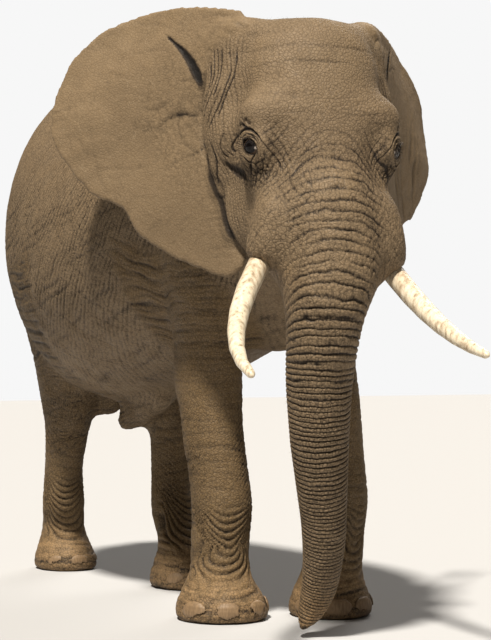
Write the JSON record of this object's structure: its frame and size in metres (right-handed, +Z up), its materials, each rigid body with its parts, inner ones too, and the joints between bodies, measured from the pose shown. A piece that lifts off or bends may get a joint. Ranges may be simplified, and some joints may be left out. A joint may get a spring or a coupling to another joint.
{
  "type": "elephant",
  "caption": "Life-size standing bull African elephant with its head turned slightly to its right, ears half spread, trunk hanging and tusks forward.",
  "frame": {"origin": "middle of the bounding box's base, on the floor under the animal", "axes": "+Z up, -Y the way the body faces, +X to the animal's left"},
  "size_m": [1.884, 4.151, 2.8214],
  "materials": {
    "skin": "dry wrinkled hide, brown-grey",
    "ear_skin": "dry hide, a little browner and smoother than the body",
    "ivory": "satin ivory, cream with brown stains near the root",
    "horn": "dull horn",
    "cornea": "wet dark eye",
    "bristle": "coarse black hair"
  },
  "bodies": {
    "root": {"belly": "skin", "chest": "skin", "ear_left": "ear_skin", "ear_right": "ear_skin", "eye_left": "cornea", "eye_right": "cornea", "foreleg_left_foot": "skin", "foreleg_left_lower": "skin", "foreleg_left_upper": "skin", "foreleg_right_foot": "skin", "foreleg_right_lower": "skin", "foreleg_right_upper": "skin", "head": "skin", "hindleg_left_foot": "skin", "hindleg_left_lower": "skin", "hindleg_left_upper": "skin", "hindleg_right_foot": "skin", "hindleg_right_lower": "skin", "hindleg_right_upper": "skin", "jaw": "skin", "nail_fore_left_1": "horn", "nail_fore_left_2": "horn", "nail_fore_left_3": "horn", "nail_fore_left_4": "horn", "nail_fore_right_1": "horn", "nail_fore_right_2": "horn", "nail_fore_right_3": "horn", "nail_fore_right_4": "horn", "nail_hind_left_1": "horn", "nail_hind_left_2": "horn", "nail_hind_left_3": "horn", "nail_hind_right_1": "horn", "nail_hind_right_2": "horn", "nail_hind_right_3": "horn", "neck": "skin", "rump": "skin", "tail": "skin", "tail_tuft": "bristle", "trunk_lower": "skin", "trunk_middle": "skin", "trunk_tip": "skin", "trunk_upper": "skin", "tusk_left": "ivory", "tusk_right": "ivory"}
  },
  "joints": []
}
